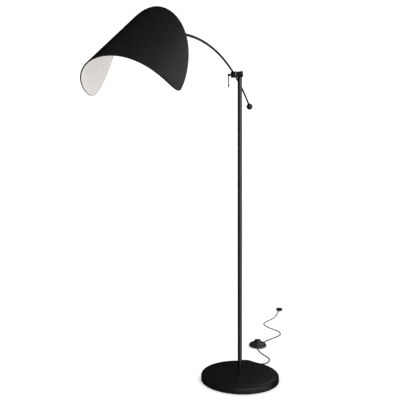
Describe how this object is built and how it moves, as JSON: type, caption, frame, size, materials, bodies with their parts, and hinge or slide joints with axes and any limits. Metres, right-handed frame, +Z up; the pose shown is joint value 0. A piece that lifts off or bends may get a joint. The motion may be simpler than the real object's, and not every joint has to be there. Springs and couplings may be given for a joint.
{
  "type": "adjustable arm floor lamp",
  "caption": "Floor lamp: round weighted base, slim pole, clamp head holding a long curved arm that tilts and slides, bent sheet shade, foot switch on the cord.",
  "frame": {"origin": "centre of the base's underside, on the pole's axis", "axes": "+Z up along the pole; the arm and shade reach towards -X, the tail and the cord towards +X; the arm's pivot lies along Y"},
  "size_m": [2.1735, 0.28, 1.1184],
  "materials": {
    "shade_sheet": "matte",
    "shade_lining": "matte",
    "black_powder_coat": "satin",
    "black_steel": "satin",
    "cast_iron": "matte",
    "zinc_steel": "satin",
    "brass": "satin",
    "black_plastic": "satin",
    "white_plastic": "satin",
    "rubber": "matte",
    "cord_sheath": "satin",
    "opal_bulb": "satin"
  },
  "bodies": {
    "stand": {"base_pad": "rubber", "base_cover": "black_powder_coat", "base_weight": "cast_iron", "pole_foot": "zinc_steel", "foot_washer": "zinc_steel", "foot_nut": "zinc_steel", "base_bush": "rubber", "cord_tail": "cord_sheath", "cord_grip": "zinc_steel", "pole_wires": "white_plastic", "pole_tube": "black_steel", "swivel_grub_screw": "zinc_steel", "switch_cover": "black_plastic", "switch_tray": "black_plastic", "switch_pad": "rubber", "switch_core": "white_plastic", "switch_screw_1": "zinc_steel", "switch_screw_2": "zinc_steel", "switch_screw_3": "zinc_steel", "switch_bush_in": "rubber", "switch_bush_out": "rubber", "cord_base_to_switch": "cord_sheath", "cord_switch_to_plug": "cord_sheath", "plug_body": "black_plastic", "plug_relief": "rubber", "plug_pin_left": "brass", "plug_pin_right": "brass"},
    "head": {"head_tee": "black_powder_coat"},
    "hub": {"arm_hub": "black_powder_coat", "hub_washer": "white_plastic", "barrel_end_cap": "black_powder_coat", "end_cap_screw": "black_steel"},
    "clamp": {"clamp_screw": "black_steel", "clamp_lever": "zinc_steel", "lever_tip": "black_plastic"},
    "arm": {"arm_tube": "black_steel", "arm_wires": "white_plastic", "arm_ball": "black_powder_coat", "knuckle_arm_half": "black_powder_coat", "knuckle_screw": "zinc_steel", "knuckle_nut": "zinc_steel"},
    "lamp": {"knuckle_lamp_half": "black_powder_coat", "lampholder_body": "black_plastic", "holder_contact_shell": "brass", "shade_ring": "black_plastic", "bulb_cap": "zinc_steel", "bulb_globe": "opal_bulb", "shade_bracket": "black_powder_coat", "shade_stud_rear": "zinc_steel", "shade_stud_front": "zinc_steel", "shade_nut_rear": "zinc_steel", "shade_nut_front": "zinc_steel", "lamp_shade": "shade_sheet"},
    "button": {"switch_button": "black_plastic", "switch_spring": "zinc_steel"}
  },
  "joints": [
    {"name": "head_swivel", "type": "hinge", "parent": "stand", "child": "head", "pos_m": [0, 0, 1.0922], "axis": [0, 0, 1], "range_deg": [-170, 170]},
    {"name": "arm_tilt", "type": "hinge", "parent": "head", "child": "hub", "pos_m": [0, 0.0218, 1.1048], "axis": [0, 1, 0], "range_deg": [-40, 40]},
    {"name": "clamp_turn", "type": "hinge", "parent": "hub", "child": "clamp", "pos_m": [0, 0.032, 1.1048], "axis": [0, 1, 0], "range_deg": [-180, 180]},
    {"name": "arm_slide", "type": "hinge", "parent": "hub", "child": "arm", "pos_m": [-0.15, 0.0218, -0.578], "axis": [0, 1, 0], "range_deg": [-10, 15]},
    {"name": "shade_tilt", "type": "hinge", "parent": "arm", "child": "lamp", "pos_m": [-0.78258, 0.0218, 0.99244], "axis": [0, 1, 0], "range_deg": [-35, 35]},
    {"name": "button_press", "type": "slide", "parent": "stand", "child": "button", "axis": [0, 0, -1], "range_m": [0, 0.003], "stiffness_N_per_m": 400, "springref_m": -0.004, "deforming": ["switch_spring"]}
  ]
}
